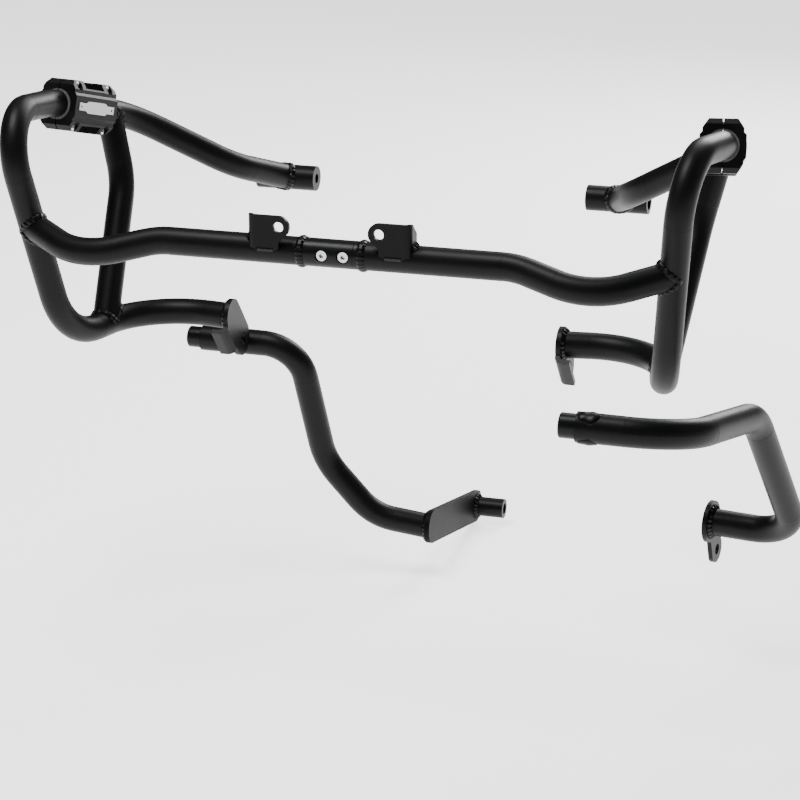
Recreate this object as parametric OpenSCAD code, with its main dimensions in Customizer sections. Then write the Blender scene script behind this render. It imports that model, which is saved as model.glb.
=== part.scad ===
// Motorcycle crash bars: a bolted pair of upper bars and two lower bars.
// X runs across the bike, Y towards its rear and Z up.
// The origin is the middle of the cross tube's coupling. The upper bars mirror each other in X.

/* [Tubes] */
// Outside diameter of the bent tubes
tube_od = 27; // [25:0.5:29]
// Wall of the bent tubes
tube_wall = 2; // [1.5:0.1:3]
// How much the tube draws in at its bends
bend_draw = 0.1; // [0.05:0.05:0.3]
// Depth of the weld beads
weld_size = 4.2; // [2.4:0.1:4.6]
// Ripples around one weld bead
weld_ripples = 22; // [12:1:26]
// Gap between a tube's coped end and what it is welded to
cope_gap = 0.15; // [0.1:0.05:0.4]

/* [Coupling] */
// Half the length of the machined coupling
coupling_half = 30; // [27:0.5:36]
// Length of the half lap
lap_length = 40; // [36:0.5:44]
// How far the lap sits to the right of the middle
lap_shift = 2.5; // [0:0.5:4]
// Gap between the lap's faces
lap_gap = 0.3; // [0.1:0.05:0.6]
// Distance between the two lap screws
lap_screw_pitch = 21; // [18:0.5:24]
// Diameter of the lap screws
lap_screw_d = 6; // [5:0.5:7]
// Counterbore of the lap screws
lap_counterbore_d = 12; // [11.5:0.5:13]
// Depth of the counterbore below the tube's front
lap_counterbore_depth = 7.5; // [6.5:0.5:8.5]
// Length of the shank inside the cross tube
shank_length = 18; // [12:1:30]

/* [Tabs] */
// Thickness of the tabs
tab_thick = 4; // [3:0.5:5]
// Front face of the tabs ahead of the tube's axis
tab_front = 15.5; // [15:0.25:17]
// Distance of the tab's hole from the middle
tab_hole_x = 49; // [46:0.5:56]
// Height of the tab's hole above the tube's axis
tab_hole_z = 25; // [23:0.5:30]
// Hole in the tab
tab_hole_d = 10; // [8:0.5:11]
// Radius of the tab's round end
tab_end_r = 10.5; // [9:0.5:12]
// Distance of the tab's folded edge from the middle
tab_fold_x = 80; // [76:0.5:90]
// How far the tab's leg reaches back
tab_leg = 20; // [14:1:24]
// How much lower the free end of a tab's folded leg stands
tab_drop = 11; // [6:1:14]
// Inner radius of the folds in the plates
fold_r = 3; // [2:0.5:4]

/* [Upper bosses] */
// Outside diameter of the bosses
boss_od = 27; // [26:0.5:30]
// Length of the bosses
boss_length = 66; // [56:1:76]
// Bolt bore of the bosses
boss_bore_d = 10.5; // [8.5:0.5:12.5]
// Counterbore for the bolt's head
boss_counterbore_d = 18; // [16:0.5:20]
// Depth of the counterbore
boss_counterbore_depth = 24; // [10:1:30]

/* [Flange brackets] */
// Thickness of the flange plates
flange_thick = 5; // [4:0.5:6]
// Outer radius of the bracket's two lobes
flange_lobe_r = 18; // [17.5:0.5:20]
// Bolt hole of the flange brackets
flange_hole_d = 12.5; // [10:0.5:14]
// How far the folded leg reaches past its fold
flange_leg = 8; // [4:0.5:12]

/* [Clamps] */
// Length of a clamp along its tube
clamp_length = 75; // [68:1:84]
// Half the width of a clamp
clamp_half_w = 19.5; // [18.5:0.5:22]
// Height of the clamp's ears above its bore
clamp_ear_h = 10.2; // [9.5:0.2:12]
// Wall of the clamp between its ears
clamp_barrel_wall = 3; // [2:0.5:4]
// Length of an ear along the tube
clamp_ear_length = 21; // [18:0.5:24]
// Gap between the clamp's halves
clamp_gap = 1.2; // [0.6:0.1:2]
// Wall of the liner shells
liner_wall = 2; // [1.5:0.25:3]
// Height of the raised pad
pad_height = 2.5; // [1.5:0.25:3.5]
// Half the width of the raised pad's face
pad_half = 10.5; // [9:0.5:12]
// Length of the bare plate set in the pad
plate_length = 62; // [50:1:64]
// Width of the bare plate in its middle
plate_width = 12; // [10:0.5:14]
// Thickness of the bare plate
plate_thick = 1.5; // [1:0.1:2]
// Small holes near the plate's ends
plate_hole_d = 2.4; // [1.5:0.1:3]
// Depth of the plate's pocket
plate_pocket = 1; // [0.6:0.1:1.6]
// Diameter of the clamp screws
clamp_screw_d = 5; // [4:0.5:5.5]
// Diameter of the clamp screws' heads
clamp_head_d = 8.5; // [7.5:0.5:9]

/* [Lower bars] */
// Clearance of the spigots in their tubes
spigot_gap = 0.1; // [0.05:0.05:0.3]
// How much smaller in radius the free end of a spigot is
spigot_step = 0.2; // [0.1:0.1:0.5]
// How far the spigots stand out of their tubes
spigot_out = 15; // [10:1:25]
// How far the spigots reach into their tubes
spigot_in = 25; // [22:1:35]
// Thickness of the left bar's arm
arm_thick = 5.5; // [4:0.5:8]
// Radius of the arm's ends
arm_end_r = 18; // [18:0.5:20]
// Outside diameter of the arm's boss
arm_boss_od = 22; // [18:0.5:26]
// Length of the arm's boss
arm_boss_length = 32; // [24:1:44]
// Bore of the arm's boss
arm_bore_d = 12.5; // [8.5:0.5:14]
// Radius of the right bar's round flange
ear_flange_r = 21; // [17.5:0.5:22]
// Thickness of the right bar's flange
ear_thick = 4.5; // [4:0.5:6]
// Radius of the flange's ear
ear_end_r = 13.5; // [11:0.5:15]
// Bolt hole of the ear
ear_hole_d = 11; // [8.5:0.5:12]

/* [Hidden] */
$fn = 64;

// Bend points of the right upper bar, from its flange round the loop to its boss
flange_x = 172.5;
boss_at = [184, 392, -24];
main_points = [
    [flange_x + flange_thick, 188, -126], [274, 205, -127], [304, 62, -127], [330, -11, 114],
    [340, 125, 99], [314, 263, 62], [218, 315, 3], boss_at
];
main_bends = [75, 70, 46, 70, 80, 75];
// Where the cross tube and the brace meet the upper bar, as shares of its straight runs
cross_share = 0.52;
clamp_start = 13;
brace_gap = 0.6;
brace_top = clamp_start + clamp_length + brace_gap + weld_size + tube_od / 2;
brace_foot_share = 0.535;
cross_points = [
    [coupling_half, 0, 0], [176, 0, 0], [250, -18, -18], mix(main_points[2], main_points[3], cross_share)
];
cross_bends = [75, 75];
brace_points = [
    main_points[4] + unit(main_points[5] - main_points[4]) * brace_top, [304, 218, 1],
    mix(main_points[1], main_points[2], brace_foot_share)
];
brace_bends = [75];
flange_hole_at = [215, -157];
// Bend points of the left lower bar, from its spigot to its arm
low_left_points = [
    [-230, 247, -170], [-123.5, 247, -170.8], [-108, 286, -307.5], [-56, 293, -367.5], [4, 302, -377.5]
];
low_left_bends = [43, 67, 64];
arm_boss_at = [479, -415];
// Bend points of the right lower bar, from its spigot to its flange
low_right_points = [[274, -163, -92], [367, -161, -93.8], [398, 14, -125.5], [422, 152, -288], [337, 166, -288]];
low_right_bends = [62, 60, 45];
ear_hole_at = [-15, -34];

tube_r = tube_od / 2;
bore_r = tube_r - tube_wall;
spigot_r = bore_r - spigot_gap;
clamp_bore_r = tube_r + liner_wall;
ear_top = clamp_bore_r + clamp_ear_h;
barrel_top = clamp_bore_r + clamp_barrel_wall;
bend_reach = 0.5;
tab_foot = 4;
clearing = 1.2 * tube_od;
fold_lead = 6;
fold_short = 8;
weld_lift = 0.18;
screw_inset = clamp_ear_length / 2;
screw_height = clamp_bore_r + clamp_head_d / 2 + 0.9;
lap_left = lap_shift - lap_length / 2;
lap_right = lap_shift + lap_length / 2;
steel = "#26272a";
machined = "#1b1c1f";
bright = "#c3c5c8";
rubber = "#4a4b4e";

// Vector helpers
function mix(a, b, share) = a + (b - a) * share;
function unit(v) = v / norm(v);
function across(v, along) = unit(v - (v * along) * along);
function turn(a, b) = acos(max(-1, min(1, a * b)));
function frame(x, z, at) = let (y = cross(z, x)) [
    [x[0], y[0], z[0], at[0]], [x[1], y[1], z[1], at[1]], [x[2], y[2], z[2], at[2]], [0, 0, 0, 1]
];
function headings(points) = [for (i = [0 : len(points) - 2]) unit(points[i + 1] - points[i])];
function setback(dirs, bends, i) =
    (i < 0 || i >= len(bends)) ? 0 : bends[i] * tan(turn(dirs[i], dirs[i + 1]) / 2);

// A bent rod through bend points: straight, bend, straight and so on, each in the frame of the
// last. A bend is drawn in a little, and the straights reach a little way into it.
module rod(points, bends, r, before = 0, after = 0) {
    dirs = headings(points);
    start = across(dirs[1], dirs[0]);
    multmatrix(frame(start, dirs[0], points[0] - dirs[0] * before))
        rod_leg(points, bends, dirs, r, 0, before, after);
}

module rod_leg(points, bends, dirs, r, i, before, after) {
    first = i == 0;
    last = i == len(points) - 2;
    clear = norm(points[i + 1] - points[i]) - setback(dirs, bends, i - 1) - setback(dirs, bends, i);
    leg = clear + (first ? before : 0) + (last ? after : 0);
    translate([0, 0, first ? 0 : -bend_reach])
        cylinder(h = leg + (first ? 0 : bend_reach) + (last ? 0 : bend_reach), r = r);
    if (!last) {
        angle = turn(dirs[i], dirs[i + 1]);
        translate([0, 0, leg]) {
            multmatrix([[-1, 0, 0, bends[i]], [0, 0, 1, 0], [0, 1, 0, 0], [0, 0, 0, 1]])
                rotate_extrude(angle = angle) translate([bends[i], 0]) circle(r = r - bend_draw);
            translate([bends[i], 0, 0]) rotate([0, angle, 0]) translate([-bends[i], 0, 0])
                rotate([0, 0, twist(dirs, i)])
                    rod_leg(points, bends, dirs, r, i + 1, before, after);
        }
    }
}

// Turn of the bending plane between bend i and the one after it
function twist(dirs, i) = i + 2 >= len(dirs) ? 0 :
    let (
        z = dirs[i + 1],
        x = -across(dirs[i], z),
        y = cross(z, x),
        want = across(dirs[i + 2], z)
    ) atan2(want * y, want * x);

module pipe(points, bends, before = 0, after = 0) {
    difference() {
        rod(points, bends, tube_r, before, after);
        rod(points, bends, bore_r, before + 1, after + 1);
    }
}

module both(side) {
    if (side < 0) mirror([1, 0, 0]) children();
    else children();
}

module boss_core(r, extra) {
    translate([boss_at[0] - boss_length / 2 - extra, boss_at[1], boss_at[2]]) rotate([0, 90, 0])
        cylinder(h = boss_length + 2 * extra, r = r);
}

// Room that a coped end leaves for the main tube
module main_room() {
    rod(main_points, main_bends, tube_r + cope_gap);
}

module main_tube(side) {
    color(steel) both(side) difference() {
        pipe(main_points, main_bends, 4);
        boss_core(max(boss_od, tube_od) / 2 + cope_gap, 10);
        translate([flange_x + flange_thick - clearing, main_points[0][1] - clearing, main_points[0][2] - clearing])
            cube([clearing, 2 * clearing, 2 * clearing]);
    }
}

module cross_tube(side) {
    color(steel) both(side) difference() {
        pipe(cross_points, cross_bends);
        main_room();
    }
}

module brace_tube(side) {
    color(steel) both(side) difference() {
        pipe(brace_points, brace_bends);
        main_room();
    }
}

// One machined half of the coupling: a plug in the cross tube, a shoulder and a half-round tongue
module lap_insert(side) {
    shoulder = side < 0 ? -lap_left : lap_right;
    tongue = side < 0 ? lap_right : -lap_left;
    facing = side < 0 ? -1 : 1;
    color(machined) both(side) difference() {
        union() {
            translate([coupling_half, 0, 0]) rotate([0, 90, 0]) cylinder(h = shank_length, r = spigot_r);
            translate([shoulder, 0, 0]) rotate([0, 90, 0])
                cylinder(h = coupling_half - shoulder, r = tube_r);
            intersection() {
                translate([-tongue + lap_gap, 0, 0]) rotate([0, 90, 0])
                    cylinder(h = tongue - lap_gap + shoulder, r = tube_r);
                translate([-tongue - 1, facing > 0 ? lap_gap / 2 : -tube_r - 1, -tube_r - 1])
                    cube([tongue + shoulder + 1, tube_r + 1 - lap_gap / 2, tube_od + 2]);
            }
        }
        lap_holes(side);
    }
}

// Screw holes of the coupling, drawn for the half that is being made
module lap_holes(side) {
    for (x = [-0.5, 0.5] * lap_screw_pitch) {
        translate([side * (x + lap_shift), 0, 0]) rotate([90, 0, 0]) {
            translate([0, 0, -tube_od]) cylinder(h = 2 * tube_od, d = lap_screw_d + 0.2);
            translate([0, 0, tube_r - lap_counterbore_depth])
                cylinder(h = tube_r, d = lap_counterbore_d);
        }
    }
}

module cap_screw(d, head_d, reach) {
    hex = head_d * 0.5;
    difference() {
        union() {
            cylinder(h = d, d = head_d);
            translate([0, 0, -reach]) cylinder(h = reach, d = d);
        }
        translate([0, 0, d * 0.45]) cylinder(h = d, d = hex, $fn = 6);
    }
}

module coupling_screws() {
    floor_y = tube_r - lap_counterbore_depth;
    color(bright) for (x = [-0.5, 0.5] * lap_screw_pitch) {
        translate([x + lap_shift, -floor_y, 0]) rotate([90, 0, 0])
            cap_screw(lap_screw_d, lap_screw_d + 4, floor_y + tube_r - 4);
    }
}

// Folded tab on the cross tube: a drilled front plate and a leg that turns back over the tube
module tab(side) {
    top = tab_hole_z + tab_end_r;
    foot = tab_foot;
    outer = fold_r + tab_thick;
    back = tab_front - tab_thick;
    color(steel) both(side) difference() {
        union() {
            translate([0, -back, 0]) rotate([90, 0, 0]) linear_extrude(tab_thick) difference() {
                union() {
                    translate([tab_hole_x, tab_hole_z]) circle(r = tab_end_r);
                    translate([tab_hole_x, foot])
                        square([tab_fold_x - outer - tab_hole_x, top - foot]);
                    polygon([
                        [tab_hole_x - tab_end_r, tab_hole_z], [tab_hole_x, tab_hole_z],
                        [tab_hole_x + 8, foot], [tab_hole_x + 4, foot]
                    ]);
                }
                translate([tab_hole_x, tab_hole_z]) circle(d = tab_hole_d);
            }
            translate([tab_fold_x - outer, -back + fold_r, foot]) linear_extrude(top - foot) {
                difference() {
                    intersection() {
                        circle(r = outer);
                        translate([0, -outer]) square(outer);
                    }
                    circle(r = fold_r);
                }
                translate([fold_r, 0]) square([tab_thick, tab_leg - outer]);
            }
        }
        rotate([0, 90, 0]) cylinder(h = cross_points[1][0], r = tube_r);
        translate([tab_fold_x - outer, 0, 0]) rotate([90, 0, 90]) linear_extrude(outer + 1) polygon([
            [fold_r - back, top], [tab_leg - tab_front, top - tab_drop], [tab_leg, top - tab_drop],
            [tab_leg, top + 1], [fold_r - back, top + 1]
        ]);
    }
}

// Two round ends joined by their tangents
module lobes(a, ra, b, rb) {
    way = unit(b - a);
    half = acos((ra - rb) / norm(b - a));
    tips = [for (m = [-1, 1]) way * cos(half) + m * [-way[1], way[0]] * sin(half)];
    translate(a) circle(r = ra);
    translate(b) circle(r = rb);
    polygon([
        a + tips[0] * (ra - 0.02), b + tips[0] * (rb - 0.02),
        b + tips[1] * (rb - 0.02), a + tips[1] * (ra - 0.02)
    ]);
}

// Flange bracket: a two-lobed plate whose lower front edge is folded outwards as a stiffener.
// A folded strip is trimmed to the outline of the lobes and of the fold.
module flange_bracket(side) {
    from = [main_points[0][1], main_points[0][2]];
    run = norm(flange_hole_at - from);
    way = unit(flange_hole_at - from);
    outer = fold_r + flange_thick;
    color(steel) both(side) difference() {
        intersection() {
            multmatrix(frame([0, -way[1], way[0]], [0, way[0], way[1]], [flange_x, from[0], from[1]]))
                translate([0, 0, -flange_lobe_r - 1]) linear_extrude(run + 2 * flange_lobe_r + 2)
                    fold_profile(outer);
            translate([flange_x - 1, 0, 0]) upright() linear_extrude(outer + flange_leg + 2) {
                lobes(from, flange_lobe_r, flange_hole_at, flange_lobe_r);
                fold_outline(from, way, run, outer);
            }
        }
        translate([flange_x - 1, flange_hole_at[0], flange_hole_at[1]]) rotate([0, 90, 0])
            cylinder(h = flange_thick + 2, d = flange_hole_d);
    }
}

module fold_outline(from, way, run, outer) {
    out = [way[1], -way[0]];
    near = from - way * fold_lead;
    far = from + way * (run - fold_short);
    polygon([
        near + out * flange_lobe_r / 2, near + out * (flange_lobe_r + outer + 1),
        far + out * (flange_lobe_r + outer + 1), far + out * flange_lobe_r / 2
    ]);
}

// Cross-section of the folded strip: x is across the lobes and y is through the plate
module fold_profile(outer) {
    start = -flange_lobe_r - 0.4;
    translate([start, outer]) {
        difference() {
            intersection() {
                circle(r = outer);
                translate([-outer, -outer]) square(outer);
            }
            circle(r = fold_r);
        }
        translate([-outer, 0]) square([flange_thick, flange_leg]);
    }
    translate([start, 0]) square([2 * flange_lobe_r + 2, flange_thick]);
}

// Stands a drawing up so that its x and y become Y and Z, extruded along X
module upright() {
    multmatrix([[0, 0, 1, 0], [1, 0, 0, 0], [0, 1, 0, 0], [0, 0, 0, 1]]) children();
}

module boss(side) {
    color(steel) both(side) difference() {
        boss_core(boss_od / 2, 0);
        translate([boss_at[0] - boss_length / 2 - 1, boss_at[1], boss_at[2]]) rotate([0, 90, 0]) {
            cylinder(h = boss_length + 2, d = boss_bore_d);
            translate([0, 0, boss_length + 1 - boss_counterbore_depth])
                cylinder(h = boss_counterbore_depth + 1, d = boss_counterbore_d);
        }
    }
}

// Clamp frame: x outwards, y along the tube towards its boss and z up
module on_clamp() {
    way = unit(main_points[5] - main_points[4]);
    out = unit(cross(way, [0, 0, 1]));
    up = cross(out, way);
    at = main_points[4] + way * clamp_start;
    multmatrix([
        [out[0], way[0], up[0], at[0]], [out[1], way[1], up[1], at[1]],
        [out[2], way[2], up[2], at[2]], [0, 0, 0, 1]
    ]) children();
}

// Half of the clamp's eight-sided end, on the side where x is positive
module clamp_section() {
    corner_w = clamp_half_w * 0.7;
    corner_h = ear_top - 8.9;
    polygon([
        [clamp_gap / 2, -ear_top], [corner_w, -ear_top], [clamp_half_w, -corner_h],
        [clamp_half_w, corner_h], [corner_w, ear_top], [clamp_gap / 2, ear_top]
    ]);
    polygon([
        [clamp_half_w - 1, -pad_half - 3], [clamp_half_w, -pad_half - 2.8],
        [clamp_half_w + pad_height, -pad_half], [clamp_half_w + pad_height, pad_half],
        [clamp_half_w, pad_half + 2.8], [clamp_half_w - 1, pad_half + 3]
    ]);
}

// One half of the clamp, on the side where x is positive
module clamp_half(headed) {
    bevel = 5;
    valley = clamp_length - 2 * clamp_ear_length;
    difference() {
        translate([0, clamp_length, 0]) rotate([90, 0, 0]) linear_extrude(clamp_length) clamp_section();
        translate([0, -1, 0]) rotate([-90, 0, 0]) cylinder(h = clamp_length + 2, r = clamp_bore_r);
        for (z = [-1, 1]) scale_z(z) {
            translate([-1, clamp_ear_length, barrel_top]) cube([clamp_half_w + 2, valley, ear_top]);
            translate([-1, 0, ear_top]) rotate([45, 0, 0])
                translate([0, -bevel, -bevel * 0.7071]) cube([clamp_half_w + 2, 2 * bevel, bevel * 2]);
            translate([-1, clamp_length, ear_top]) rotate([-45, 0, 0])
                translate([0, -bevel, -bevel * 0.7071]) cube([clamp_half_w + 2, 2 * bevel, bevel * 2]);
            for (y = [screw_inset, clamp_length - screw_inset]) {
                translate([-1, y, screw_height]) rotate([0, 90, 0])
                    cylinder(h = headed ? 40 : 14, d = clamp_screw_d + 0.3);
                if (headed) translate([9, y, screw_height]) rotate([0, 90, 0])
                    cylinder(h = 30, d = clamp_head_d + 1);
            }
        }
        translate([clamp_half_w + pad_height - plate_pocket, clamp_length / 2, 0])
            plate_outline(plate_length + 0.4, plate_width + 0.4, 5, false);
    }
}

module scale_z(z) {
    if (z < 0) mirror([0, 0, 1]) children();
    else children();
}

// Bare plate standing along x: a long strip with a wider middle and cut corners
module plate_outline(long, wide, thick, holes) {
    cut = wide * 0.28;
    slim = wide * 0.32;
    step = long * 0.25;
    upright() linear_extrude(thick) difference() {
        polygon([
            [-long / 2, -slim], [-step - cut, -slim], [-step, -wide / 2], [step, -wide / 2],
            [step + cut, -slim], [long / 2, -slim], [long / 2, slim], [step + cut, slim],
            [step, wide / 2], [-step, wide / 2], [-step - cut, slim], [-long / 2, slim]
        ]);
        if (holes) for (y = [-1, 1]) translate([y * (long / 2 - slim), 0]) circle(d = plate_hole_d);
    }
}

module clamp_outer_half(side) {
    color(machined) both(side) on_clamp() clamp_half(false);
}

module clamp_inner_half(side) {
    color(machined) both(side) on_clamp() mirror([1, 0, 0]) clamp_half(true);
}

// Two half shells between the tube and the clamp, a little longer than the clamp
module clamp_liner(side) {
    lip = 1.5;
    color(rubber) both(side) on_clamp() difference() {
        translate([0, -lip, 0]) rotate([-90, 0, 0]) cylinder(h = clamp_length + 2 * lip, r = clamp_bore_r);
        translate([0, -lip - 1, 0]) rotate([-90, 0, 0])
            cylinder(h = clamp_length + 2 * lip + 2, r = tube_r);
        translate([-clamp_gap / 2, -lip - 1, -clamp_bore_r - 1])
            cube([clamp_gap, clamp_length + 2 * lip + 2, 2 * clamp_bore_r + 2]);
    }
}

module clamp_plates(side) {
    floor_x = clamp_half_w + pad_height - plate_pocket;
    color(bright) both(side) on_clamp() for (face = [0, 1]) mirror([face, 0, 0])
        translate([floor_x, clamp_length / 2, 0]) plate_outline(plate_length, plate_width, plate_thick, true);
}

module clamp_screws(side) {
    color(bright) both(side) on_clamp() mirror([1, 0, 0])
        for (z = [-1, 1], y = [screw_inset, clamp_length - screw_inset])
            translate([9, y, z * screw_height]) rotate([0, 90, 0])
                cap_screw(clamp_screw_d, clamp_head_d, 21);
}

// Nearest point of a tube's centre line, on straight run i or on the bend before or after it
function near_run(points, bends, dirs, i, p) =
    let (
        from = points[i] + dirs[i] * setback(dirs, bends, i - 1),
        clear = norm(points[i + 1] - from) - setback(dirs, bends, i),
        along = (p - from) * dirs[i]
    ) along > clear && i < len(bends) ? near_bend(points, bends, dirs, i, p)
    : along < 0 && i > 0 ? near_bend(points, bends, dirs, i - 1, p)
    : from + dirs[i] * along;

function near_bend(points, bends, dirs, i, p) =
    let (
        inward = across(dirs[i + 1], dirs[i]),
        middle = points[i + 1] - dirs[i] * setback(dirs, bends, i) + inward * bends[i]
    ) middle + across(p - middle, cross(dirs[i], inward)) * bends[i];

// Slides a point along a way until it is at radius r from a tube's centre line
function settle(points, bends, dirs, i, p, way, r, steps) =
    steps == 0 ? p :
    let (
        off = p - near_run(points, bends, dirs, i, p),
        move = (r - norm(off)) / max(0.35, unit(off) * way)
    ) settle(points, bends, dirs, i, p + way * move, way, r, steps - 1);

function ring_angles() = [for (i = [0 : 2 * weld_ripples - 1]) 180 * i / weld_ripples];
function ring_outs(way) =
    let (x = across(abs(way[2]) < 0.9 ? [0, 0, 1] : [1, 0, 0], way), y = cross(way, x))
    [for (t = ring_angles()) x * cos(t) + y * sin(t)];

// One section of a bead in the corner between a branch and its carrier
function bead_section(corner, way, out, normal, along, size) =
    let (
        crown = unit(out + normal),
        height = size * (0.8 * (crown * way) + 0.42 * (crown * out)),
        up = way - (way * crown) * crown,
        down = along - (along * crown) * crown
    ) [
        corner + crown * weld_lift,
        corner + way * size + out * weld_lift,
        corner + crown * height + up * size * 0.4,
        corner + crown * height + down * size * 0.4,
        corner + along * size + normal * weld_lift
    ];

module bead(sections) {
    n = len(sections);
    faces = [for (i = [0 : n - 1], k = [0 : 4], half = [0, 1]) let (
        a = i * 5 + k,
        b = i * 5 + (k + 1) % 5,
        c = ((i + 1) % n) * 5 + (k + 1) % 5,
        d = ((i + 1) % n) * 5 + k
    ) half == 0 ? [a, c, b] : [a, d, c]];
    polyhedron(points = [for (section = sections, point = section) point], faces = faces);
}

// Bead along an open line, with its two ends closed
module strip_bead(sections) {
    n = len(sections);
    skin = [for (i = [0 : n - 2], k = [0 : 4], half = [0, 1]) let (
        a = i * 5 + k,
        b = i * 5 + (k + 1) % 5,
        c = (i + 1) * 5 + (k + 1) % 5,
        d = (i + 1) * 5 + k
    ) half == 0 ? [a, c, b] : [a, d, c]];
    last = (n - 1) * 5;
    caps = [[0, 1, 2], [0, 2, 3], [0, 3, 4], [last, last + 2, last + 1], [last, last + 3, last + 2],
        [last, last + 4, last + 3]];
    polyhedron(points = [for (section = sections, point = section) point], faces = concat(skin, caps));
}

// Ripples that fade towards both ends of a line of n sections
function fade(i, n) = swell(i) * min(1, 0.35 + 0.325 * min(i, n - 1 - i));

// Beads under a tab's front plate and beside its folded leg
module tab_beads() {
    floor_y = -sqrt(tube_r * tube_r - tab_foot * tab_foot);
    wall = [0, floor_y, tab_foot] / tube_r;
    from_x = tab_hole_x + 3;
    along_n = 2 * round((tab_fold_x - fold_r - tab_thick - from_x) / 3.2) + 1;
    strip_bead([for (i = [0 : along_n - 1]) let (
        x = mix(from_x, tab_fold_x - fold_r - tab_thick, i / (along_n - 1))
    ) bead_section([x, floor_y, tab_foot], [0, -1, 0], [0, 0, -1], wall, [0, -wall[2], wall[1]], fade(i, along_n))]);
    strip_bead([for (i = [0 : 10]) let (
        y = mix(-tube_r * 0.72, tab_leg - tab_front - 1.5, i / 10),
        rise = [0, y, sqrt(tube_r * tube_r - y * y)] / tube_r
    ) bead_section([tab_fold_x, 0, 0] + rise * tube_r, rise, [1, 0, 0], rise, [1, 0, 0], fade(i, 11))]);
}

function swell(i) = weld_size * (i % 2 == 0 ? 1 : 0.82);

// Bead round a tube that leaves the straight run i of another
module saddle_bead(at, way, points, bends, i, carrier_r) {
    dirs = headings(points);
    outs = ring_outs(way);
    flat = way - (way * dirs[i]) * dirs[i];
    bead([for (k = [0 : len(outs) - 1]) let (
        out = outs[k],
        rim = out * tube_r - (out * tube_r * dirs[i]) * dirs[i],
        mixed = flat * rim,
        root = mixed * mixed - (flat * flat) * (rim * rim - carrier_r * carrier_r),
        first = at + out * tube_r + way * (sqrt(max(0, root)) - mixed) / (flat * flat),
        corner = settle(points, bends, dirs, i, first, way, carrier_r, 5),
        normal = unit(corner - near_run(points, bends, dirs, i, corner)),
        along = across(out - way, normal),
        size = swell(k),
        section = bead_section(corner, way, out, normal, along, size),
        core = near_run(points, bends, dirs, i, section[4]),
        toe = core + unit(section[4] - core) * (carrier_r + weld_lift)
    ) [section[0], section[1], section[2], section[3], toe]]);
}

// Bead round a tube that stands on a flat face
module face_bead(at, way, r, normal) {
    outs = ring_outs(way);
    bead([for (k = [0 : len(outs) - 1]) let (
        out = outs[k],
        corner = at + out * r - way * (out * normal) * r / (way * normal)
    ) bead_section(corner, way, out, normal, across(out, normal), swell(k))]);
}

// Bead over the joint of two round ends
module butt_bead(at, way, r) {
    outs = ring_outs(way);
    bead([for (k = [0 : len(outs) - 1])
        bead_section(at + outs[k] * r, way, outs[k], outs[k], -way, swell(k))]);
}

module weld_beads(side) {
    main_dirs = headings(main_points);
    cross_dirs = headings(cross_points);
    brace_dirs = headings(brace_points);
    boss_line = [boss_at - [60, 0, 0], boss_at + [60, 0, 0]];
    color(steel) both(side) {
        saddle_bead(cross_points[3], -cross_dirs[2], main_points, main_bends, 2, tube_r);
        saddle_bead(brace_points[0], brace_dirs[0], main_points, main_bends, 4, tube_r);
        saddle_bead(brace_points[2], -brace_dirs[1], main_points, main_bends, 1, tube_r);
        saddle_bead(boss_at, -main_dirs[6], boss_line, [], 0, boss_od / 2);
        face_bead(main_points[0], main_dirs[0], tube_r, [1, 0, 0]);
        butt_bead([coupling_half, 0, 0], [1, 0, 0], tube_r);
        tab_beads();
    }
}

module lower_left_tube() {
    foot = low_left_points[4];
    color(steel) difference() {
        pipe(low_left_points, low_left_bends, 0, 6);
        translate(foot - [0, clearing, clearing]) cube([clearing, 2 * clearing, 2 * clearing]);
    }
}

module lower_left_spigot() {
    color(machined) spigot(low_left_points);
}

// Turned plug in the open end of a tube, with a small lead-in
module spigot(points) {
    way = unit(points[1] - points[0]);
    lead = 1;
    multmatrix(frame(across([0, 0, 1], way), way, points[0] - way * spigot_out)) {
        cylinder(h = lead, r1 = spigot_r - spigot_step - lead, r2 = spigot_r - spigot_step);
        translate([0, 0, lead]) cylinder(h = spigot_out - lead, r = spigot_r - spigot_step);
        translate([0, 0, spigot_out]) cylinder(h = spigot_in, r = spigot_r);
    }
}

module lower_left_arm() {
    foot = low_left_points[4];
    color(steel) translate([foot[0], 0, 0]) upright() linear_extrude(arm_thick) difference() {
        lobes([foot[1], foot[2]], arm_end_r, arm_boss_at, arm_end_r);
        translate(arm_boss_at) circle(d = arm_bore_d);
    }
}

module lower_left_boss() {
    foot = low_left_points[4];
    color(steel) translate([foot[0] + arm_thick, arm_boss_at[0], arm_boss_at[1]]) rotate([0, 90, 0])
        difference() {
            cylinder(h = arm_boss_length, d = arm_boss_od);
            translate([0, 0, -1]) cylinder(h = arm_boss_length + 2, d = arm_bore_d);
        }
}

module lower_left_weld_beads() {
    foot = low_left_points[4];
    dirs = headings(low_left_points);
    color(steel) {
        face_bead(foot, -dirs[3], tube_r, [-1, 0, 0]);
        face_bead([foot[0] + arm_thick, arm_boss_at[0], arm_boss_at[1]], [1, 0, 0], arm_boss_od / 2, [1, 0, 0]);
    }
}

module lower_right_tube() {
    color(steel) pipe(low_right_points, low_right_bends);
}

module lower_right_spigot() {
    color(machined) spigot(low_right_points);
}

// Flange frame of the right lower bar: z along the tube's end and y up
module on_ear_flange() {
    way = unit(low_right_points[4] - low_right_points[3]);
    x = unit(cross([0, 0, 1], way));
    multmatrix(frame(x, way, low_right_points[4])) children();
}

module lower_right_flange() {
    color(steel) on_ear_flange() linear_extrude(ear_thick) difference() {
        union() {
            circle(r = ear_flange_r);
            lobes([0, 0], 10, ear_hole_at, ear_end_r);
        }
        translate(ear_hole_at) circle(d = ear_hole_d);
    }
}

module lower_right_weld_beads() {
    dirs = headings(low_right_points);
    color(steel) face_bead(low_right_points[4], -dirs[3], tube_r, -dirs[3]);
}

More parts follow.
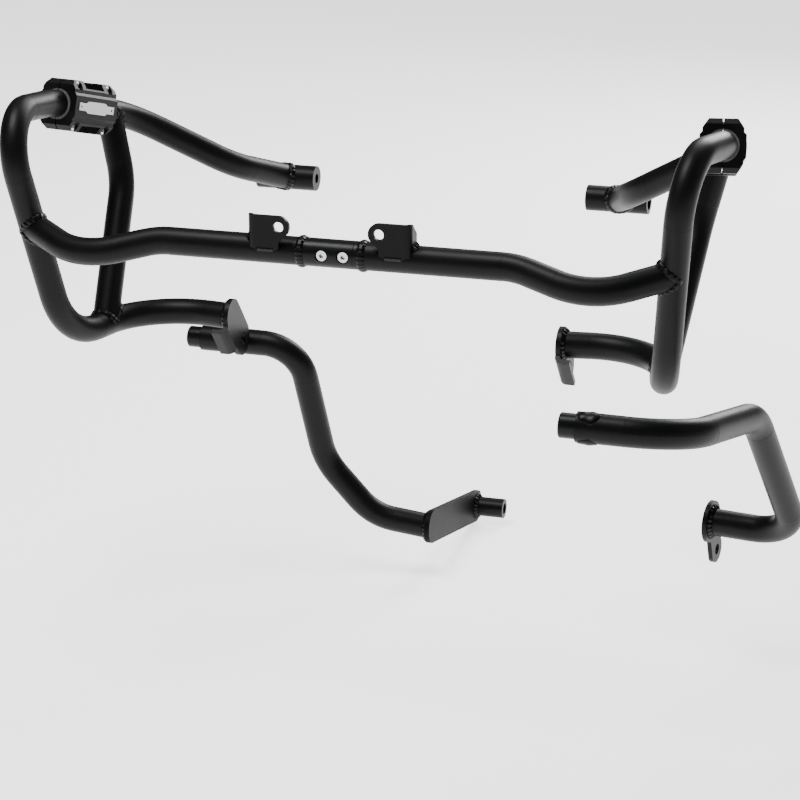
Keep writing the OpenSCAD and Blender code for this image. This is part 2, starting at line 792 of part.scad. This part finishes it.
main_tube(-1);  // left_main_tube
main_tube(1);  // right_main_tube
cross_tube(-1);  // left_cross_tube
cross_tube(1);  // right_cross_tube
brace_tube(-1);  // left_brace_tube
brace_tube(1);  // right_brace_tube
lap_insert(-1);  // left_lap_insert
lap_insert(1);  // right_lap_insert
tab(-1);  // left_tab
tab(1);  // right_tab
flange_bracket(-1);  // left_flange_bracket
flange_bracket(1);  // right_flange_bracket
boss(-1);  // left_boss
boss(1);  // right_boss
clamp_inner_half(-1);  // left_clamp_inner_half
clamp_inner_half(1);  // right_clamp_inner_half
clamp_outer_half(-1);  // left_clamp_outer_half
clamp_outer_half(1);  // right_clamp_outer_half
clamp_liner(-1);  // left_clamp_liner
clamp_liner(1);  // right_clamp_liner
clamp_plates(-1);  // left_clamp_plates
clamp_plates(1);  // right_clamp_plates
clamp_screws(-1);  // left_clamp_screws
clamp_screws(1);  // right_clamp_screws
coupling_screws();
weld_beads(-1);  // left_weld_beads
weld_beads(1);  // right_weld_beads
lower_left_tube();
lower_left_spigot();
lower_left_arm();
lower_left_boss();
lower_left_weld_beads();
lower_right_tube();
lower_right_spigot();
lower_right_flange();
lower_right_weld_beads();
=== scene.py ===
import bpy
import bmesh
import math
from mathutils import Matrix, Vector


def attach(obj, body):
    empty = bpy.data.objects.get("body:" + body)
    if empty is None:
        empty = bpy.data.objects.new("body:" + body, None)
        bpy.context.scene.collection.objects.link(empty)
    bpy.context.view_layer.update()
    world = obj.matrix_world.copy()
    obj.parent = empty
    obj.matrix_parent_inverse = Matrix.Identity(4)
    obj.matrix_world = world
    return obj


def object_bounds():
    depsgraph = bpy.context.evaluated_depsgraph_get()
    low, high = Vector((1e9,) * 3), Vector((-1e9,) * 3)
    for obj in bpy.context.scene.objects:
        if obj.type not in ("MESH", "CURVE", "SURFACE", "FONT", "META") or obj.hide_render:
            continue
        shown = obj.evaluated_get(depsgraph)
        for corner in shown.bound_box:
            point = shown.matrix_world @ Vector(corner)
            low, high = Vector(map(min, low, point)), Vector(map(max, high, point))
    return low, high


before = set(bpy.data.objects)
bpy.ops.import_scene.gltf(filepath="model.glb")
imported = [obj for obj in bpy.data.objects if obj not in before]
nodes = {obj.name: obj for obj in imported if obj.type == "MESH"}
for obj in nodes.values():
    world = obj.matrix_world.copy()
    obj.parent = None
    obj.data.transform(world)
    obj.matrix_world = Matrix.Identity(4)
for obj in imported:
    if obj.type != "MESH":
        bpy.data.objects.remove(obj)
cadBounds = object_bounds()
print("frame loaded:", len(nodes), "nodes")


class Wire:
    # one socket of a finish's node tree, with the arithmetic that the finishes use

    def __init__(self, bench, socket):
        self.bench = bench
        self.socket = socket

    def math(self, operation, left, right):
        return self.bench.add("ShaderNodeMath", {"operation": operation}, {0: left, 1: right})

    def __add__(self, other):
        return self.math("ADD", self, other)

    def __radd__(self, other):
        return self.math("ADD", other, self)

    def __sub__(self, other):
        return self.math("SUBTRACT", self, other)

    def __rsub__(self, other):
        return self.math("SUBTRACT", other, self)

    def __mul__(self, other):
        return self.math("MULTIPLY", self, other)

    def __rmul__(self, other):
        return self.math("MULTIPLY", other, self)


class Bench:
    # the node tree of one finish

    def __init__(self, name):
        self.material = bpy.data.materials.new(name)
        self.material.use_nodes = True
        self.tree = self.material.node_tree
        self.shader = self.tree.nodes["Principled BSDF"]

    def add(self, kind, settings=None, sockets=None, out=0):
        node = self.tree.nodes.new(kind)
        for key, value in (settings or {}).items():
            setattr(node, key, value)
        for key, value in (sockets or {}).items():
            self.feed(node.inputs[key], value)
        return Wire(self, node.outputs[out])

    def feed(self, socket, value):
        if isinstance(value, Wire):
            self.tree.links.new(value.socket, socket)
        else:
            socket.default_value = value

    def finish(self, **sockets):
        for name, value in sockets.items():
            self.feed(self.shader.inputs[name.replace("_", " ")], value)
        return self.material

    def place(self):
        return self.add("ShaderNodeTexCoord", out="Object")

    def noise(self, scale, detail=2.0, vector=None):
        return self.add("ShaderNodeTexNoise", {}, {
            "Vector": vector or self.place(), "Scale": scale, "Detail": detail, "Roughness": 0.55,
        })

    def blend(self, factor, dark, light):
        return self.add("ShaderNodeMix", {"data_type": "RGBA"}, {
            "Factor": factor, 6: (*dark, 1), 7: (*light, 1),
        }, out=2)

    def rounded(self, radius):
        return self.add("ShaderNodeBevel", {"samples": 6}, {"Radius": radius})

    def bump(self, height, depth, strength, normal=None):
        sockets = {"Height": height, "Distance": depth, "Strength": strength}
        if normal:
            sockets["Normal"] = normal
        return self.add("ShaderNodeBump", {}, sockets)


def dress(names, material):
    for name in names:
        slots = nodes[name].data.materials
        if len(slots):
            for i in range(len(slots)):
                slots[i] = material
        else:
            slots.append(material)


# sprayed powder: an orange-peel skin, a finer grit and slow changes of sheen
powder = {
    "dark": (0.0016, 0.0017, 0.0018), "light": (0.0032, 0.0033, 0.0035), "rough": 0.44, "specular": 0.13,
    "slowScale": 14.0, "slowShare": 0.7, "slowSheen": 0.10,
    "peelScale": 420.0, "peelShare": 0.75,
    "gritScale": 1900.0, "gritSheen": 0.06,
    "depth": 0.00012, "strength": 0.6, "edge": 0.0004,
}
powders = {
    "tube": powder,
    "plate": dict(powder, rough=0.42),
    "arm": dict(powder, rough=0.5, specular=0.06),
    "bead": dict(powder, rough=0.37, depth=0.0001, edge=0.0005),
}


def coatedSteel(name, look):
    bench = Bench(name)
    slow = bench.noise(look["slowScale"], detail=3.0)
    peel = bench.noise(look["peelScale"], detail=1.0)
    grit = bench.noise(look["gritScale"])
    mottle = look["slowShare"] * slow + (1 - look["slowShare"]) * grit
    height = look["peelShare"] * peel + (1 - look["peelShare"]) * grit
    return bench.finish(
        Base_Color=bench.blend(mottle, look["dark"], look["light"]),
        Roughness=look["rough"] + look["slowSheen"] * (slow - 0.5) + look["gritSheen"] * (grit - 0.5),
        Metallic=0.0, Specular_IOR_Level=look["specular"],
        Normal=bench.bump(height, look["depth"], look["strength"], bench.rounded(look["edge"])),
    )


# lathe marks along the piece's own axis, under a thin smooth coat
turned = {
    "dark": (0.0022, 0.0023, 0.0026), "light": (0.0048, 0.005, 0.0054), "rough": 0.34, "specular": 0.14,
    "pitch": 0.0011, "markSheen": 0.05, "markWander": 2.5,
    "wanderScale": 40.0, "wanderSheen": 0.10, "gritScale": 1500.0,
    "depth": 0.00003, "strength": 0.5, "edge": 0.0004,
}
turnedAxes = {
    "coupling": (1.0, 0.0, 0.0),
    "leftSpigot": (0.99997, 0.0, -0.0075),
    "rightSpigot": (0.99958, 0.0215, -0.0194),
}


def turnedSteel(name, look, axis):
    bench = Bench(name)
    along = bench.add("ShaderNodeVectorMath", {"operation": "DOT_PRODUCT"}, {
        0: bench.place(), 1: axis,
    }, out="Value")
    wander = bench.noise(look["wanderScale"])
    marks = bench.add("ShaderNodeMath", {"operation": "SINE"}, {
        0: along * (2 * math.pi / look["pitch"]) + look["markWander"] * wander,
    })
    grit = bench.noise(look["gritScale"])
    return bench.finish(
        Base_Color=bench.blend(grit, look["dark"], look["light"]),
        Roughness=look["rough"] + look["markSheen"] * marks + look["wanderSheen"] * (wander - 0.5),
        Metallic=0.0, Specular_IOR_Level=look["specular"],
        Normal=bench.bump(marks, look["depth"], look["strength"], bench.rounded(look["edge"])),
    )


bars = {
    "tubes": [
        "left_main_tube", "right_main_tube", "left_cross_tube", "right_cross_tube",
        "left_brace_tube", "right_brace_tube", "lower_left_tube", "lower_right_tube",
    ],
    "plates": [
        "left_tab", "right_tab", "left_flange_bracket", "right_flange_bracket", "left_boss", "right_boss",
        "lower_left_boss", "lower_right_flange",
    ],
    "beads": ["left_weld_beads", "right_weld_beads", "lower_left_weld_beads", "lower_right_weld_beads"],
}
dress(bars["tubes"], coatedSteel("powderTube", powders["tube"]))
dress(bars["plates"], coatedSteel("powderPlate", powders["plate"]))
dress(["lower_left_arm"], coatedSteel("powderArm", powders["arm"]))
beadCoat = coatedSteel("powderBead", powders["bead"])
dress(bars["beads"], beadCoat)
dress(["left_lap_insert", "right_lap_insert"], turnedSteel("turnedCoupling", turned, turnedAxes["coupling"]))
dress(["lower_left_spigot"], turnedSteel("turnedSpigotLeft", turned, turnedAxes["leftSpigot"]))
dress(["lower_right_spigot"], turnedSteel("turnedSpigotRight", turned, turnedAxes["rightSpigot"]))
print("bars dressed")


# a lump of weld above and below, near the right lower bar's open end
plugWelds = {
    "tubeEnd": (0.274, -0.163, -0.092), "along": turnedAxes["rightSpigot"], "tubeRadius": 0.0135,
    "lumps": [
        # name, distance in from the tube's end, which way it faces, half length, half width, ripple phase
        ("plugWeldTop", 0.0115, (0.0, -0.42, 1.0), 0.0098, 0.0088, 11),
        ("plugWeldUnder", 0.0105, (0.0, -0.45, -1.0), 0.0092, 0.0080, 13),
    ],
    "around": 40, "rings": 24,
    "proud": 0.0018, "sunk": 0.0008, "bedding": 0.0002,
    "ripples": 5.5, "rippleBend": 1.6, "rippleDepth": 0.12,
    "edgeWaves": 5.0, "edgeWaveDepth": 0.12,
}


def layPlugWelds(look):
    along = Vector(look["along"]).normalized()
    radius = look["tubeRadius"]
    for name, inward, facing, halfLong, halfWide, phase in look["lumps"]:
        out = Vector(facing)
        out = (out - along * out.dot(along)).normalized()
        side = along.cross(out)
        bm = bmesh.new()
        bmesh.ops.create_uvsphere(bm, u_segments=look["around"], v_segments=look["rings"], radius=1.0)
        for vert in bm.verts:
            # the ball is laid flat, bent round the tube and rippled as a run of weld is
            a, b, c = vert.co
            swell = math.sin(look["ripples"] * a + look["rippleBend"] * b * b + phase)
            ripple = 1.0 + look["rippleDepth"] * swell
            lift = c * look["proud"] * ripple if c > 0 else c * look["sunk"]
            edge = 1.0 + look["edgeWaveDepth"] * math.sin(look["edgeWaves"] * a)
            turn = b * halfWide * edge / radius
            radial = out * math.cos(turn) + side * math.sin(turn)
            vert.co = (
                Vector(look["tubeEnd"]) + along * (inward + a * halfLong)
                + radial * (radius - look["bedding"] + lift)
            )
        bmesh.ops.recalc_face_normals(bm, faces=bm.faces)
        for face in bm.faces:
            face.smooth = True
        mesh = bpy.data.meshes.new(name)
        bm.to_mesh(mesh)
        bm.free()
        mesh.materials.append(beadCoat)
        lump = bpy.data.objects.new(name, mesh)
        bpy.context.scene.collection.objects.link(lump)
        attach(lump, "root")


layPlugWelds(plugWelds)
print("plug welds laid")


# bead-blasted and anodised black, a little paler where handling has rubbed it
alloy = {
    "dark": (0.002, 0.0021, 0.0023), "light": (0.0038, 0.0039, 0.0042), "rough": 0.44, "specular": 0.14,
    "cloudScale": 30.0, "cloudShare": 0.6, "pitScale": 2600.0, "pitSheen": 0.12,
    "depth": 0.00005, "strength": 0.7, "edge": 0.0005,
}


def blastedAlloy(name, look):
    bench = Bench(name)
    cloud = bench.noise(look["cloudScale"], detail=3.0)
    pits = bench.noise(look["pitScale"], detail=3.0)
    mottle = look["cloudShare"] * cloud + (1 - look["cloudShare"]) * pits
    return bench.finish(
        Base_Color=bench.blend(mottle, look["dark"], look["light"]),
        Roughness=look["rough"] + look["pitSheen"] * (pits - 0.5),
        Metallic=0.0, Specular_IOR_Level=look["specular"],
        Normal=bench.bump(pits, look["depth"], look["strength"], bench.rounded(look["edge"])),
    )


# bare metal with fine scratches, long and all one way where stretch is high
stainless = {
    "dark": (0.50, 0.50, 0.49), "light": (0.74, 0.74, 0.73), "rough": 0.22,
    "scale": 900.0, "stretch": 1.0, "scratchSheen": 0.14, "cloudScale": 60.0, "cloudSheen": 0.06,
    "depth": 0.00003, "strength": 0.5, "edge": 0.0003, "turn": (0.0, 0.0, 0.0),
}
plate = dict(
    stainless, dark=(0.30, 0.30, 0.30), light=(0.55, 0.55, 0.54), rough=0.32, scale=160.0, stretch=22.0,
)
plateTurns = {
    "left": (0.0, 0.0, math.radians(-100.0)),
    "right": (0.0, 0.0, math.radians(-80.0)),
}


def brushedMetal(name, look):
    bench = Bench(name)
    brushed = bench.add("ShaderNodeMapping", {"vector_type": "POINT"}, {
        "Vector": bench.place(), "Rotation": look["turn"], "Scale": (1.0, look["stretch"], look["stretch"]),
    })
    scratch = bench.noise(look["scale"], detail=4.0, vector=brushed)
    cloud = bench.noise(look["cloudScale"])
    return bench.finish(
        Base_Color=bench.blend(scratch, look["dark"], look["light"]), Metallic=1.0,
        Roughness=look["rough"] + look["scratchSheen"] * (scratch - 0.5) + look["cloudSheen"] * cloud,
        Normal=bench.bump(scratch, look["depth"], look["strength"], bench.rounded(look["edge"])),
    )


rubber = {
    "dark": (0.06, 0.062, 0.065), "light": (0.10, 0.102, 0.105), "rough": 0.72,
    "skinScale": 900.0, "skinSheen": 0.1, "dustScale": 140.0, "depth": 0.0001, "strength": 0.6,
}


def mouldedRubber(name, look):
    bench = Bench(name)
    skin = bench.noise(look["skinScale"], detail=3.0)
    dust = bench.noise(look["dustScale"])
    return bench.finish(
        Base_Color=bench.blend(dust, look["dark"], look["light"]),
        Roughness=look["rough"] + look["skinSheen"] * (skin - 0.5),
        Normal=bench.bump(skin, look["depth"], look["strength"]),
    )


clamps = {
    "halves": [
        "left_clamp_inner_half", "right_clamp_inner_half", "left_clamp_outer_half", "right_clamp_outer_half",
    ],
    "liners": ["left_clamp_liner", "right_clamp_liner"],
    "screws": ["left_clamp_screws", "right_clamp_screws", "coupling_screws"],
}
dress(clamps["halves"], blastedAlloy("clampAlloy", alloy))
dress(clamps["liners"], mouldedRubber("clampLiner", rubber))
dress(["left_clamp_plates"], brushedMetal("plateLeft", dict(plate, turn=plateTurns["left"])))
dress(["right_clamp_plates"], brushedMetal("plateRight", dict(plate, turn=plateTurns["right"])))
dress(clamps["screws"], brushedMetal("stainlessScrews", stainless))
print("clamps and screws dressed")


studio = {
    "floorDrop": 0.0015, "floorHalf": 9.0, "floorTone": (0.88, 0.88, 0.885), "floorRough": 0.9,
    "floorGlow": 1.8, "worldTone": (0.95, 0.97, 1.0), "worldStrength": 0.08,
    "lights": [
        # name, place, size, watts
        ("topLight", (-0.5, -0.3, 1.9), 1.0, 52.0),
        ("leftLight", (-1.3, -1.5, 1.3), 0.5, 2.0),
        ("rightLight", (1.9, 0.4, 1.0), 0.6, 1.5),
        ("backLight", (0.3, 2.3, 1.8), 1.6, 42.0),
        ("lowBackLight", (0.5, 3.0, 1.0), 1.0, 52.0),
    ],
    "litPoint": (0.0, 0.1, -0.1),
    "lens": 118.354, "sensor": 36.0, "yaw": 0.29999, "pitch": 0.30782, "eye": (0.7620, -2.2534, 0.6127),
}


def layFloor():
    bm = bmesh.new()
    bmesh.ops.create_grid(bm, x_segments=1, y_segments=1, size=studio["floorHalf"])
    bmesh.ops.translate(bm, verts=bm.verts, vec=(0, 0, cadBounds[0].z - studio["floorDrop"]))
    mesh = bpy.data.meshes.new("floor")
    bm.to_mesh(mesh)
    bm.free()
    floor = bpy.data.objects.new("floor", mesh)
    bpy.context.scene.collection.objects.link(floor)
    mesh.materials.append(Bench("paperFloor").finish(
        Base_Color=(*studio["floorTone"], 1), Roughness=studio["floorRough"],
        Emission_Color=(1.0, 1.0, 1.0, 1.0), Emission_Strength=studio["floorGlow"],
    ))


def hangLights():
    for name, place, size, watts in studio["lights"]:
        lamp = bpy.data.lights.new(name, "AREA")
        lamp.shape = "DISK"
        lamp.size = size
        lamp.energy = watts
        stand = bpy.data.objects.new(name, lamp)
        stand.location = place
        aim = Vector(studio["litPoint"]) - Vector(place)
        stand.rotation_euler = aim.to_track_quat("-Z", "Y").to_euler()
        bpy.context.scene.collection.objects.link(stand)
    world = bpy.data.worlds.new("studioAir")
    world.use_nodes = True
    air = world.node_tree.nodes["Background"].inputs
    air["Color"].default_value = (*studio["worldTone"], 1)
    air["Strength"].default_value = studio["worldStrength"]
    bpy.context.scene.world = world


def standCamera():
    lens = bpy.data.cameras.new("camera")
    lens.lens = studio["lens"]
    lens.sensor_width = studio["sensor"]
    lens.clip_start, lens.clip_end = 0.05, 60.0
    camera = bpy.data.objects.new("camera", lens)
    camera.location = studio["eye"]
    camera.rotation_euler = (math.pi / 2 - studio["pitch"], 0, studio["yaw"])
    bpy.context.scene.collection.objects.link(camera)
    bpy.context.scene.camera = camera


layFloor()
hangLights()
standCamera()
print("studio ready")
